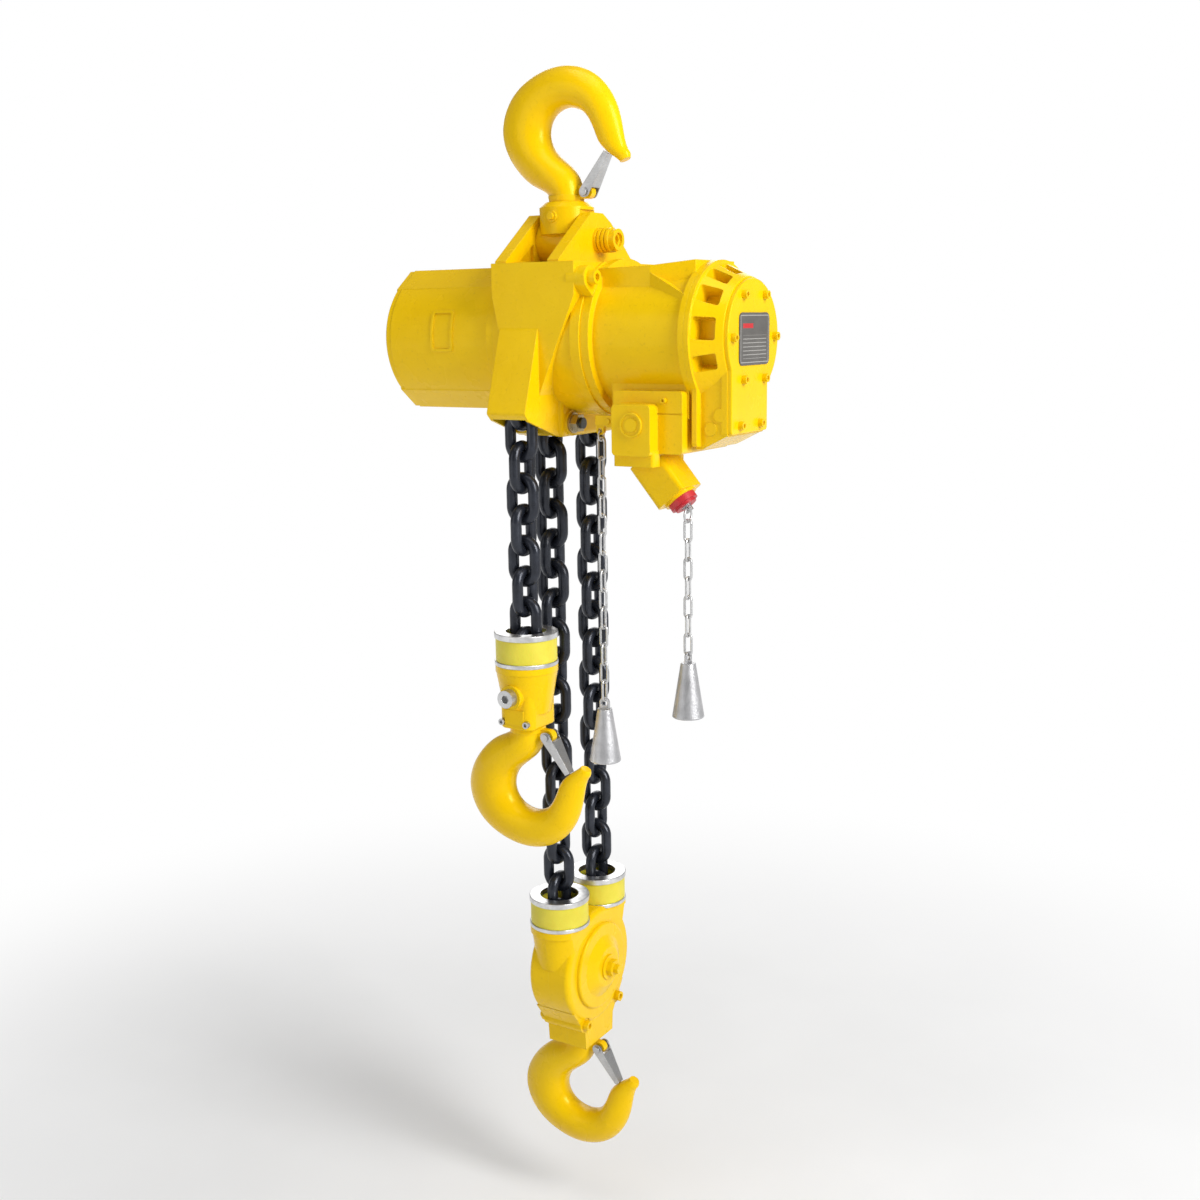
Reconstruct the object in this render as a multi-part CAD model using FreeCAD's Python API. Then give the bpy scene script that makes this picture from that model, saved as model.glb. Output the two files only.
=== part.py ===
# Air-driven chain hoist with a suspension hook, a single-fall hook and a two-fall hook block.
# Units: mm.  X runs along the motor, +X is the motor end.  +Y is the back.  +Z is up.
# The origin is on the axis of the suspension hook, at the height of the motor axis.
import math
import os
import FreeCAD, Part

V = FreeCAD.Vector
X1, Y1, Z1 = V(1, 0, 0), V(0, 1, 0), V(0, 0, 1)
AXES = {"x": X1, "y": Y1, "z": Z1}
NODES = {}

# ---- load chain
PITCH = 36.0
NOMINAL_WIRE = 13.0
WIRE = 12.9                 # the strand links, with a little slack at each crown
WIRE_WHEEL = 12.2           # links bent round the load wheel
WIRE_IDLER = 11.4           # links bent round the idler sheave
BEND_R = 15.0               # centre-line radius of a link's crown
LINK_HALF = BEND_R + NOMINAL_WIRE / 2

# ---- load wheel and idler
WHEEL_POCKETS = 5
SHEAVE_POCKETS = 4
FALL_JOINT_Z = -12.0        # where the live fall leaves the load wheel
LIVE_LINKS = 22
DEAD_LINKS = 19
ANCHOR_JOINT_Z = -89.8      # top of the dead fall
SLACK_TILTS = (14.0, 26.0, 15.8)
SLACK_LINKS = 9


def half_angle(pockets):
    return math.radians(90.0 / pockets)


WHEEL_R = PITCH / 2 / math.sin(half_angle(WHEEL_POCKETS))
SHEAVE_R = PITCH / 2 / math.sin(half_angle(SHEAVE_POCKETS))
LIVE_END_Z = FALL_JOINT_Z - LIVE_LINKS * PITCH
DEAD_END_Z = ANCHOR_JOINT_Z - DEAD_LINKS * PITCH
SHEAVE_Z = (LIVE_END_Z + DEAD_END_Z) / 2
SHEAVE_TURN = math.asin((LIVE_END_Z - SHEAVE_Z) / SHEAVE_R)
FALL_Y = SHEAVE_R * math.cos(SHEAVE_TURN)
WHEEL_TURN = math.asin(FALL_JOINT_Z / WHEEL_R)
AXIS_Y = FALL_Y - WHEEL_R * math.cos(WHEEL_TURN)      # motor and load-wheel axis
SLACK_START = V(0, AXIS_Y - WHEEL_R * math.cos(WHEEL_TURN), -FALL_JOINT_Z)

# ---- hoist body
TOP_Z = 84.0
DRUM_R = 90.0
HOUSING_X = (-38.0, 78.0)
GEAR_END_X = -204.0
GEAR_HALF = 82.0
MOTOR_X = (78.0, 204.0)
MOTOR_R = 79.0
COVER_X = (204.0, 242.0)
PLATE_X = (242.0, 247.0)
FRONT_Y = -104.0
WHEEL_ROOM = 79.5
# ---- gears
MODULE = 2.3
SUN_T, PLANET_T, RING_T = 16, 20, 56
GEAR_X = (-112.0, -90.0)
PLANETS = 3
# ---- suspension
PIN_Z = 110.0
EAR_X = (28.0, 43.0)
EAR_R = 31.0
CROSS_R = 25.0
CROSS_TOP = 154.5
# ---- hooks
SHANK_R = 15.0
NECK_R = 20.0
NUT_R = 19.0
NUT_H = 13.0
LATCH_AT = (30.0, -10.0)
LATCH_END = (57.0, -52.0)
# ---- single-fall hook block
A_TOP = -334.5
A_BOTTOM = -448.0
RING_R = 37.4
RING_T1, RING_T2 = 7.0, 5.0
BUFFER_H = 27.0
# ---- two-fall hook block
B_TOP = -682.0
B_BOTTOM = -893.0
B_HALF = 30.0
B_R = 74.0
# ---- control block and pulls
CTRL_X = (112.0, 198.0)
CTRL_Y = (-86.0, 24.0)
CTRL_Z = (-124.0, -56.0)
PULL_PITCH = 21.5
PULL_WIRE = 2.8
PULL_BEND = 4.3
LEVER_PIVOT = V(106.0, -80.0, -90.0)
LEVER_EYE = V(92.0, -80.0, -101.0)
START_LINKS = 14
STOP_TIP = V(181.0, -60.0, -173.0)
STOP_DIR = V(0.64, 0, -0.768)
STOP_LINKS = 7
START_RING_R, STOP_RING_R = 5.5, 8.0
WEIGHT_H = 75.0
WEIGHT_R = (18.5, 8.5)
EYE_DROP = 3.6              # hole centre of a weight below the last chain joint


# ================= helpers =================
def box(x, y, z):
    return Part.makeBox(x[1] - x[0], y[1] - y[0], z[1] - z[0], V(x[0], y[0], z[0]))


def point(axis, u, a, b):
    """u along the axis, (a, b) the other two coordinates in X, Y, Z order"""
    return {"x": V(u, a, b), "y": V(a, u, b), "z": V(a, b, u)}[axis]


def cyl(axis, at, r, span):
    return Part.makeCylinder(r, span[1] - span[0], point(axis, span[0], *at), AXES[axis])


def cone(axis, at, r0, r1, span):
    return Part.makeCone(r0, r1, span[1] - span[0], point(axis, span[0], *at), AXES[axis])


def prism(axis, pts, span):
    ring = [point(axis, span[0], *p) for p in pts]
    face = Part.Face(Part.makePolygon(ring + [ring[0]]))
    return face.extrude(AXES[axis] * (span[1] - span[0]))


def fuse(first, *rest):
    out = first.fuse(list(rest)) if rest else first
    return out.removeSplitter()


def cut(first, *rest):
    return first.cut(list(rest))


def hexagon(axis, at, flats, span):
    r = flats / math.sqrt(3)
    pts = [(at[0] + r * math.cos(math.radians(60 * i)), at[1] + r * math.sin(math.radians(60 * i)))
           for i in range(6)]
    return prism(axis, pts, span)


def soft(shape, size, test):
    """round the edges that pass the test, one group at a time, keeping the shape if one fails"""
    edges = [e for e in shape.Edges if test(e)]
    try:
        out = shape.makeFillet(size, edges)
        return out if out.isValid() and out.Volume > 0 else shape
    except Exception:
        return shape


def along(direction):
    """test: straight edges parallel to a direction"""
    def test(edge):
        if not isinstance(edge.Curve, Part.Line):
            return False
        return abs(abs(edge.Curve.Direction.dot(direction)) - 1) < 1e-6
    return test


def turned(shape, origin, x_dir, z_dir):
    """copy of a shape whose local x and z directions become the given ones"""
    z = V(z_dir).normalize()
    y = z.cross(x_dir).normalize()
    x = y.cross(z)
    m = FreeCAD.Matrix(x.x, y.x, z.x, origin.x, x.y, y.y, z.y, origin.y, x.z, y.z, z.z, origin.z, 0, 0, 0, 1)
    out = shape.copy()
    out.transformShape(m)
    return out


def cap_screw(at, out_dir, d, length):
    """screw with its under-head point at `at` and its head pointing along out_dir"""
    head = cyl("z", (0, 0), 0.78 * d, (0, 0.95 * d))
    body = fuse(head, cyl("z", (0, 0), d / 2, (-length, 0)))
    body = cut(body, hexagon("z", (0, 0), 0.8 * d, (0.4 * d, d)))
    side = Z1 if abs(out_dir.dot(Z1)) < 0.9 else X1
    return turned(body, at, side, out_dir)


def screw_hole(at, out_dir, d, length):
    tool = cyl("z", (0, 0), d / 2 + 0.05, (-length - 1, 1))
    side = Z1 if abs(out_dir.dot(Z1)) < 0.9 else X1
    return turned(tool, at, side, out_dir)


def bundle(solids):
    return Part.makeCompound(list(solids))


def add(node, shape):
    NODES[node] = shape


# ================= chain =================
def link_shape(wire, pitch, bend, nominal):
    """one welded link: long direction local z, wide direction local x"""
    straight = pitch + nominal - 2 * bend
    half = straight / 2
    disc = Part.Face(Part.Wire(Part.makeCircle(wire / 2, V(bend, 0, 0), Z1)))
    crown = disc.revolve(V(0, 0, 0), V(0, -1, 0), 180)
    upper = crown.translated(V(0, 0, half))
    lower = crown.rotated(V(0, 0, 0), Y1, 180).translated(V(0, 0, -half))
    bars = [cyl("z", (s * bend, 0), wire / 2, (-half, half)) for s in (-1, 1)]
    return fuse(upper, lower, *bars)


def lay(joints, base, flat_first, side=X1):
    """links between successive joints, turned by a quarter turn from one to the next"""
    out = []
    for i, (a, b) in enumerate(zip(joints, joints[1:])):
        d = (b - a).normalize()
        flat = (i % 2 == 0) == flat_first
        wide = side if flat else d.cross(side)
        out.append(turned(base, (a + b) * 0.5, wide, d))
    return out


def straight_down(start, count, pitch):
    return [start - Z1 * (pitch * i) for i in range(count + 1)]


def wheel_joints(y, z, r, start, count, pockets):
    step = 2 * half_angle(pockets)
    return [V(0, y + r * math.cos(start + step * i), z + r * math.sin(start + step * i))
            for i in range(count + 1)]


def slack_joints():
    pts = [SLACK_START]
    for tilt in SLACK_TILTS:
        t = math.radians(tilt)
        pts.append(pts[-1] + V(0, -math.sin(t), -math.cos(t)) * PITCH)
    return pts


SLACK_Y = slack_joints()[-1].y
SLACK_END_Z = slack_joints()[-1].z - SLACK_LINKS * PITCH
A_PIN_Z = SLACK_END_Z + NOMINAL_WIRE / 2


def seated(links, others):
    """links with a shallow seat where a link of another strand bears on them"""
    out = []
    for link in links:
        near = [o for o in others if o.BoundBox.intersect(link.BoundBox)]
        out.append(cut(link, *near).Solids[0] if near else link)
    return out


def make_chains():
    strand = link_shape(WIRE, PITCH, BEND_R, NOMINAL_WIRE)
    wrap_w = link_shape(WIRE_WHEEL, PITCH, BEND_R, NOMINAL_WIRE)
    wrap_s = link_shape(WIRE_IDLER, PITCH, BEND_R, NOMINAL_WIRE)
    thick = link_shape(WIRE + 0.2, PITCH, BEND_R, NOMINAL_WIRE)
    live = straight_down(V(0, FALL_Y, FALL_JOINT_Z), LIVE_LINKS, PITCH)
    add("live_chain", bundle(lay(live, strand, False)))
    dead = straight_down(V(0, -FALL_Y, ANCHOR_JOINT_Z), DEAD_LINKS, PITCH)
    add("dead_chain", bundle(lay(dead, strand, False)))
    live_thick, dead_thick = lay(live, thick, False), lay(dead, thick, False)
    slack_thick = lay(slack_joints(), thick, False)
    wheel = wheel_joints(AXIS_Y, 0, WHEEL_R, WHEEL_TURN, WHEEL_POCKETS, WHEEL_POCKETS)
    wraps = seated(lay(wheel, wrap_w, True), [live_thick[0], slack_thick[0]])
    add("wheel_chain", bundle(wraps))
    idler = wheel_joints(0, SHEAVE_Z, SHEAVE_R, SHEAVE_TURN - math.pi, SHEAVE_POCKETS, SHEAVE_POCKETS)
    wraps = seated(lay(idler, wrap_s, True), [live_thick[-1], dead_thick[-1]])
    add("sheave_chain", bundle(wraps))
    bent = lay(slack_joints(), wrap_w, False)
    down = straight_down(slack_joints()[-1], SLACK_LINKS, PITCH)
    add("slack_chain", bundle(bent + lay(down, strand, True)))


def end_link_relief():
    """room in the idler for the last link of the live fall, repeated for each pocket"""
    thick = link_shape(WIRE + 1.0, PITCH, BEND_R, NOMINAL_WIRE)
    live = straight_down(V(0, FALL_Y, FALL_JOINT_Z), LIVE_LINKS, PITCH)
    link = lay(live, thick, False)[-1]
    return [link.rotated(V(0, 0, SHEAVE_Z), X1, 360.0 / SHEAVE_POCKETS * k) for k in range(SHEAVE_POCKETS)]


def pocket_wheel(y, z, r, half, turn, pockets, wire, outer, bore):
    """wheel with a groove for standing links and one pocket for each flat link"""
    mid_r = r * math.cos(half_angle(pockets))
    wheel = cyl("x", (y, z), outer, (-half, half))
    groove = cut(cyl("x", (y, z), outer + 1, (-wire / 2 - 1, wire / 2 + 1)),
                 cyl("x", (y, z), mid_r - LINK_HALF - 0.8, (-wire, wire)))
    tools = [groove, cyl("x", (y, z), bore, (-half - 1, half + 1))]
    ends = (PITCH + NOMINAL_WIRE - 2 * BEND_R) / 2
    for i in range(pockets):
        a = turn + half_angle(pockets) + 4 * half_angle(pockets) * i
        slot = fuse(cyl("z", (0, ends), LINK_HALF + 0.8, (0, outer)),
                    cyl("z", (0, -ends), LINK_HALF + 0.8, (0, outer)),
                    box((-LINK_HALF - 0.8, LINK_HALF + 0.8), (-ends, ends), (0, outer)))
        radial = V(0, math.cos(a), math.sin(a))
        floor = V(0, y, z) + radial * (mid_r - wire / 2 - 0.3)
        tools.append(turned(slot, floor, X1, radial))
    return cut(wheel, *tools)


# ================= hooks =================
# inner point, outer point and thickness of each section of the hook, from the neck to the tip
HOOK_SECTIONS = [((NECK_R, -4), (-NECK_R, -4), 40), ((20, -13), (-25, -11), 42), ((15, -29), (-43, -20), 44),
                 ((1, -44), (-64, -37), 44), ((-16, -59), (-79, -59), 43), ((-23, -78), (-85, -86), 42),
                 ((-15, -97), (-71, -121), 42), ((1, -104), (-38, -144), 41), ((15, -103), (4, -151), 40),
                 ((29, -96), (43, -137), 37), ((38, -84), (65, -111), 34), ((43, -72), (74, -86), 29),
                 ((48, -62), (78, -67), 25), ((61, -50), (83, -54), 20), ((74, -40), (86, -45), 12)]


def section_points(inner, outer, thick, count=16):
    a, b = V(inner[0], 0, inner[1]), V(outer[0], 0, outer[1])
    mid, arm = (a + b) * 0.5, (a - b) * 0.5
    pts = []
    for i in range(count):
        t = 2 * math.pi * i / count
        belly = 1 + 0.10 * math.cos(t)
        pts.append(mid + arm * math.cos(t) + Y1 * (thick / 2 * math.sin(t) * belly))
    return pts + [pts[0]]


def skin(sections):
    """closed solid through a row of closed sections"""
    surface = Part.BSplineSurface()
    surface.interpolate([section_points(*s) for s in sections])
    u0, u1 = surface.bounds()[0], surface.bounds()[1]
    caps = [Part.Face(Part.Wire(surface.uIso(u).toShape())) for u in (u0, u1)]
    shell = Part.makeCompound([surface.toShape()] + caps)
    shell.sewShape()
    solid = Part.Solid(shell.Shells[0])
    if solid.Volume < 0:
        solid.reverse()
    return solid


def hook_shape(shank):
    """hook hanging below its collar face at z = 0, opening towards +X; the shank stands above"""
    bowl = skin(HOOK_SECTIONS)
    neck = cone("z", (0, 0), NECK_R + 1.5, NECK_R + 0.5, (-7, 0))
    ear = fuse(cyl("y", LATCH_AT, 7.5, (-4.6, 4.6)),
               box((4, LATCH_AT[0]), (-4.6, 4.6), (LATCH_AT[1] - 7.4, LATCH_AT[1] + 7.4)))
    stem = cyl("z", (0, 0), SHANK_R - 0.06, (-3, shank))
    body = fuse(bowl, neck, ear, stem)
    return cut(body, cyl("y", LATCH_AT, 3.05, (-12, 12)))


def hook_nut(shank):
    ring = cut(cyl("z", (0, 0), NUT_R, (shank - NUT_H - 1, shank - 1)), cyl("z", (0, 0), SHANK_R, (0, shank)))
    slots = [box((-2.5, 2.5), (NUT_R - 2.5, NUT_R + 1), (shank - NUT_H - 2, shank)).rotated(
        V(0, 0, 0), Z1, 60 * i) for i in range(6)]
    return cut(ring, *slots)


LATCH_HALF = (10.4, 5.0)    # half width at the pivot and at the tip
LATCH_R = (6.4, 3.6)        # half depth at the pivot and at the tip
LATCH_SHEET = 1.8


def rect_wire(x, y, z):
    pts = [V(x[0], y[0], z), V(x[1], y[0], z), V(x[1], y[1], z), V(x[0], y[1], z)]
    return Part.makePolygon(pts + [pts[0]])


def latch_shape():
    """folded channel that narrows towards the tip, open on the throat side"""
    a, b = V(LATCH_AT[0], 0, LATCH_AT[1]), V(LATCH_END[0], 0, LATCH_END[1])
    d = (b - a).normalize()
    n = V(-d.z, 0, d.x)
    if n.x < 0:
        n = n * -1
    length = (b - a).Length
    (w0, w1), (r0, r1), t = LATCH_HALF, LATCH_R, LATCH_SHEET
    outer = Part.makeLoft([rect_wire((-r0, r0), (-w0, w0), 0),
                           rect_wire((-r1, r1), (-w1, w1), length)], True, True)
    void = Part.makeLoft([rect_wire((-20, r0 - t), (t - w0, w0 - t), 0),
                          rect_wire((-20, r1 - t), (t - w1, w1 - t), length)], True, True)
    void = void.common(box((-30, 30), (-30, 30), (-1, length - 1.6)))
    throat = box((-20, 20), (t - w0, w0 - t), (-10, 9))
    discs = [cyl("y", (0, 0), r0, span) for span in ((w0 - t, w0), (-w0, t - w0))]
    body = cut(fuse(cut(outer, void), *discs), throat, cyl("y", (0, 0), 3.05, (-20, 20)))
    return turned(body, a, n, d)


def latch_pin():
    w = LATCH_HALF[0] + 0.3
    core = cyl("y", LATCH_AT, 3.0, (-w, w))
    heads = [cyl("y", LATCH_AT, 4.6, span) for span in ((-w - 1.8, -w), (w, w + 1.8))]
    return fuse(core, *heads)


def latch_spring():
    coils = []
    for sign in (1, -1):
        helix = Part.makeHelix(1.4, 1.9, 4.6)
        profile = Part.Wire(Part.makeCircle(0.55, V(4.6, 0, 0), Y1))
        coil = Part.Wire(helix.Edges).makePipeShell([profile], True, True)
        coil.rotate(V(0, 0, 0), X1, -90 * sign)
        coil.translate(V(LATCH_AT[0], sign * 5.85, LATCH_AT[1]))
        coils.append(coil)
    return bundle(coils)


def add_hook(prefix, origin, up, shank):
    """a hook with its nut, latch, pin and spring; up = True for the suspension hook"""
    parts = {"hook": hook_shape(shank), "hook_nut": hook_nut(shank), "latch": latch_shape(),
             "latch_pin": latch_pin(), "latch_spring": latch_spring()}
    for name, shape in parts.items():
        z_dir = Z1 * -1 if up else Z1
        add(prefix + "_" + name, turned(shape, origin, X1, z_dir))


# ================= suspension =================
def ear_plate(sign):
    span = sorted((sign * EAR_X[0], sign * EAR_X[1]))
    foot_y, back_y, apex = -86.0, 88.0, PIN_Z + EAR_R
    pts = [(foot_y, TOP_Z), (foot_y, TOP_Z + 3), (-15, apex), (10, apex), (28, apex - 10), (72, TOP_Z + 8),
           (back_y, TOP_Z + 4), (back_y, TOP_Z)]
    plate = prism("x", pts, span)
    out = sorted((sign * EAR_X[0], sign * (EAR_X[0] + 5)))
    recess = prism("x", [(foot_y + 30, TOP_Z + 4), (-EAR_R + 2, PIN_Z - 2), (-EAR_R + 2, TOP_Z + 4)], out)
    recess2 = prism("x", [(back_y - 30, TOP_Z + 4), (EAR_R - 2, PIN_Z - 2), (EAR_R - 2, TOP_Z + 4)], out)
    bore = cyl("x", (0, PIN_Z), 12.05, span)
    return cut(plate, recess, recess2, bore)


def suspension_pin(sign):
    def s(a, b):
        return tuple(sorted((sign * a, sign * b)))
    stack = [cyl("x", (0, PIN_Z), 14.0, s(EAR_X[1] + 5.2 * i, EAR_X[1] + 5.2 * i + 3.9)) for i in range(4)]
    collar = cyl("x", (0, PIN_Z), 12.5, s(62, 70))
    pin = fuse(cyl("x", (0, PIN_Z), 12.0, s(21.2, EAR_X[1] + 20)), collar, *stack)
    return cut(pin, cyl("x", (0, PIN_Z), 8.0, s(66.5, 71)), hexagon("x", (0, PIN_Z), 10.0, s(60, 71)))


def crosshead():
    half = EAR_X[0] - 0.3
    low = cyl("x", (0, PIN_Z), CROSS_R, (-half, half))
    tower = cyl("z", (0, 0), 32.0, (PIN_Z + 8, CROSS_TOP - 9.5))
    tower = tower.common(box((-half, half), (-40, 40), (PIN_Z, CROSS_TOP)))
    crown = fuse(cyl("z", (0, 0), 32.0, (CROSS_TOP - 9.5, CROSS_TOP - 6)),
                 cone("z", (0, 0), 32.0, 25.0, (CROSS_TOP - 6, CROSS_TOP)))
    at = (0, CROSS_TOP - 17)
    boss = fuse(cyl("y", at, 6.5, (-34, -20)), cyl("y", at, 4.0, (-37, -30)))
    body = fuse(low, tower, crown, boss)
    cavity = cyl("z", (0, 0), 19.6, (PIN_Z - CROSS_R - 1, 136))
    bore = cyl("z", (0, 0), SHANK_R, (100, CROSS_TOP + 1))
    trunnions = cyl("x", (0, PIN_Z), 12.06, (-half - 1, half + 1))
    return cut(body, cavity, bore, trunnions)


# ================= hoist body =================
LUGS = ((-92, 66), (63.5, -61), (70, 60))
CHUTE_HALF = 26.0
CHUTE_TOP = 14.0
ANCHOR_X = 32.0


def lug_web(y, z, span):
    reach = math.hypot(y - AXIS_Y, z)
    web = box(span, (50, reach), (-12.9, 12.9))
    turn = math.degrees(math.atan2(z, y - AXIS_Y))
    return web.rotated(V(0, 0, 0), X1, turn).translated(V(0, AXIS_Y, 0))


def chain_housing():
    drum = cyl("x", (AXIS_Y, 0), DRUM_R - 2, HOUSING_X)
    rims = [cyl("x", (AXIS_Y, 0), DRUM_R, s) for s in ((-38, -28), (66, 78))]
    deck = box((-36, 74), (FRONT_Y, 92), (58, TOP_Z))
    deck = soft(deck, 5, along(Z1))
    face = prism("y", [(-36, TOP_Z), (74, TOP_Z), (74, 48), (44, -20), (CHUTE_HALF, -62), (-CHUTE_HALF, -62),
                       (-22, -20), (-36, 48)], (FRONT_Y, AXIS_Y - 40))
    chute = prism("x", [(FRONT_Y, CHUTE_TOP), (-134, -82), (-126, -90), (-70, -110), (-10, -112), (30, -60),
                        (-40, 0)], (-CHUTE_HALF, CHUTE_HALF))
    well = box((-30, 30), (-66, 76), (-112, -40))
    well = soft(well, 9, along(X1))
    well = soft(well, 5, along(Z1))
    chute = soft(chute, 4, along(X1))
    back = box((-32, 70), (AXIS_Y, 84), (-30, TOP_Z))
    back = soft(back, 16, along(X1))
    boss = cyl("x", (-FALL_Y, ANCHOR_JOINT_Z - NOMINAL_WIRE / 2), 15, (-33, ANCHOR_X))
    lugs = [cyl("x", (y, z), 13, (64, 78)) for y, z in LUGS]
    lugs += [lug_web(y, z, (64, 78)) for y, z in LUGS]
    body = fuse(drum, deck, face, chute, well, back, boss, *(rims + lugs))
    over = box((-90, 90), (-200, 200), (TOP_Z, TOP_Z + 60))
    room = cyl("x", (AXIS_Y, 0), WHEEL_ROOM, (-29, 29))
    shafts = cyl("x", (AXIS_Y, 0), 33, (HOUSING_X[0] - 1, HOUSING_X[1] + 1))
    cross = LINK_HALF + 2.6
    slack = prism("x", [(-98, 12), (-98, -18), (-119.5, -60), (-127.5, -85), (-127.8, -130),
                        (SLACK_Y + 26, -130), (SLACK_Y + 26, -100), (SLACK_Y + 30, -75), (-50, -60),
                        (-50, 12)],
                  (-LINK_HALF - 1, LINK_HALF + 1))
    falls = [cyl("z", (0, y), cross, (-130, z)) for y, z in ((FALL_Y, 0), (-FALL_Y, ANCHOR_JOINT_Z + 16))]
    pin = cyl("x", (-FALL_Y, ANCHOR_JOINT_Z - NOMINAL_WIRE / 2), 6.45, (-40, 60))
    return cut(body, over, room, shafts, slack, pin, *falls)


def chain_anchor():
    at = (-FALL_Y, ANCHOR_JOINT_Z - NOMINAL_WIRE / 2)
    x = ANCHOR_X
    bolt = fuse(cyl("x", at, 6.4, (-34, x + 15)), hexagon("x", at, 19, (-42, -33)))
    nut = cut(hexagon("x", at, 19, (x + 2.5, x + 11)), cyl("x", at, 6.4, (x - 1, x + 16)))
    washer = cut(cyl("x", at, 12, (x, x + 2.4)), cyl("x", at, 6.4, (x - 1, x + 16)))
    return bundle([bolt, nut, washer])


def shoulder_section(r, flat, knee, span, fronts=(-1, 1)):
    """round barrel with a flat top and bottom whose flanks slope back to the circle"""
    disc = cyl("x", (AXIS_Y, 0), r, span)
    ky, kz = knee
    pts = [(-flat, r), (flat, r), (ky, kz), (ky, -kz), (flat, -r), (-flat, -r), (-ky, -kz), (-ky, kz)]
    return fuse(disc, prism("x", [(AXIS_Y + y, z) for y, z in pts], span))


FLAT_HALF = 30.0
KNEE = (57.0, 60.0)


def gear_cover():
    lo, hi = GEAR_END_X, HOUSING_X[0]
    shell = shoulder_section(GEAR_HALF, FLAT_HALF, KNEE, (lo + 10, hi - 8))
    cap = shoulder_section(GEAR_HALF - 1, FLAT_HALF, KNEE, (lo, lo + 11))
    cap = cap.makeChamfer(3, [e for e in cap.Edges if e.BoundBox.XMax < lo + 1])
    flange = cyl("x", (AXIS_Y, 0), DRUM_R - 1, (hi - 10, hi))
    body = fuse(shell, cap, flange)
    outer = cyl("x", (AXIS_Y, 0), GEAR_HALF + 1.6, (-150, -60))
    mid_x, mid_z = -117.0, 10.0
    frame = soft(box((mid_x - 16, mid_x + 16), (-120, AXIS_Y), (mid_z - 24, mid_z + 24)), 5, along(Y1))
    window = box((mid_x - 12.5, mid_x + 12.5), (-120, AXIS_Y), (mid_z - 20.5, mid_z + 20.5))
    window = soft(window, 3, along(Y1))
    body = fuse(body, cut(outer.common(frame), window))
    room = cyl("x", (AXIS_Y, 0), 73.0, (lo + 9, hi + 1))
    seat = cyl("x", (AXIS_Y, 0), 76.0, (GEAR_X[0] - 3, hi + 1))
    over = box((hi - 11, hi + 1), (-120, 120), (TOP_Z, TOP_Z + 20))
    return cut(body, room, seat, over)


def motor_shoulder():
    """squared top edges that flare out to the end flange"""
    def wire(x, half, top, low):
        y0, y1 = AXIS_Y - half, AXIS_Y + half
        pts = [V(x, y0, low), V(x, y0, top), V(x, y1, top), V(x, y1, low)]
        return Part.makePolygon(pts + [pts[0]])
    near = Part.makeLoft([wire(MOTOR_X[0] + 6, 56, 76, 40), wire(150, 57, 77.5, 40)], True, True)
    far = Part.makeLoft([wire(150, 57, 77.5, 40), wire(MOTOR_X[1] - 4, 46, 82.5, 20)], True, True)
    low = Part.makeLoft([wire(150, 57, 70, 40), wire(MOTOR_X[1] - 4, 70, 45, 10)], True, True)
    return fuse(near, far, low)


def motor_housing():
    barrel = cyl("x", (AXIS_Y, 0), MOTOR_R, (MOTOR_X[0], MOTOR_X[1]))
    flange = cyl("x", (AXIS_Y, 0), DRUM_R - 2, (78, 89))
    lugs = [cyl("x", (y, z), 13, (78, 88)) for y, z in LUGS]
    webs = [lug_web(y, z, (78, 88)) for y, z in LUGS]
    ring = cyl("x", (AXIS_Y, 0), MOTOR_R + 4, (MOTOR_X[1] - 7, MOTOR_X[1]))
    ridge = motor_shoulder()
    saddle = box((104, 200), (AXIS_Y - 62, AXIS_Y + 40), (-86, -40))
    body = fuse(barrel, flange, ring, ridge, saddle, *(lugs + webs))
    room = cyl("x", (AXIS_Y, 0), 62.0, (MOTOR_X[0] + 8, MOTOR_X[1] + 1))
    front = cyl("x", (AXIS_Y, 0), 20.0, (70, 100))
    return cut(body, room, front)


END_FOOT_Y = (AXIS_Y - 53.0, AXIS_Y + 36.0)
END_FOOT_Z = -104.0
# angle round the motor axis, in degrees, and half width of each pocket in the end cover
VENT_POCKETS = ((96, 9), (118, 9), (142, 10.5), (172, 12), (201, 9), (60, 9), (30, 10), (0, 12), (-30, 9))
END_R = 63.5


def end_outline(r, grow, foot, span):
    disc = cyl("x", (AXIS_Y, 0), r, span)
    leg = box(span, (END_FOOT_Y[0] - grow, END_FOOT_Y[1] + grow), (foot, 0))
    leg = soft(leg, 4, lambda e: along(X1)(e) and e.BoundBox.ZMax < foot + 1)
    return fuse(disc, leg)


def end_cover():
    x0, x1 = COVER_X
    flange = end_outline(MOTOR_R + 4, 10, -116, (x0, x0 + 6))
    taper = cone("x", (AXIS_Y, 0), MOTOR_R + 1, END_R + 1, (x0 + 5, x1))
    foot = prism("y", [(x0, -40), (x0, -120), (x0 + 6, -120), (x1, END_FOOT_Z), (x1, -40)],
                 (END_FOOT_Y[0], END_FOOT_Y[1]))
    foot = soft(foot, 4, along(X1))
    plugs = [cyl("y", at, 7.5, (END_FOOT_Y[0] - 1.2, END_FOOT_Y[0] + 3))
             for at in ((x1 - 9, -82), (x1 - 20, -97))]
    body = fuse(flange, taper, foot, end_outline(END_R + 1, 1, END_FOOT_Z - 1, (x1 - 7, x1)), *plugs)
    tools = []
    for a, wide in VENT_POCKETS:
        pocket = box((x0 + 7, x1 - 8), (-wide, wide), (END_R - 7, MOTOR_R + 14))
        pocket = soft(pocket, 3, along(Z1))
        pocket = pocket.rotated(V(0, 0, 0), X1, a - 90).translated(V(0, AXIS_Y, 0))
        tools.append(pocket)
    tools.append(cyl("x", (AXIS_Y, 0), 50, (x0 - 1, x1 - 8)))
    return cut(body, *tools)


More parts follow.
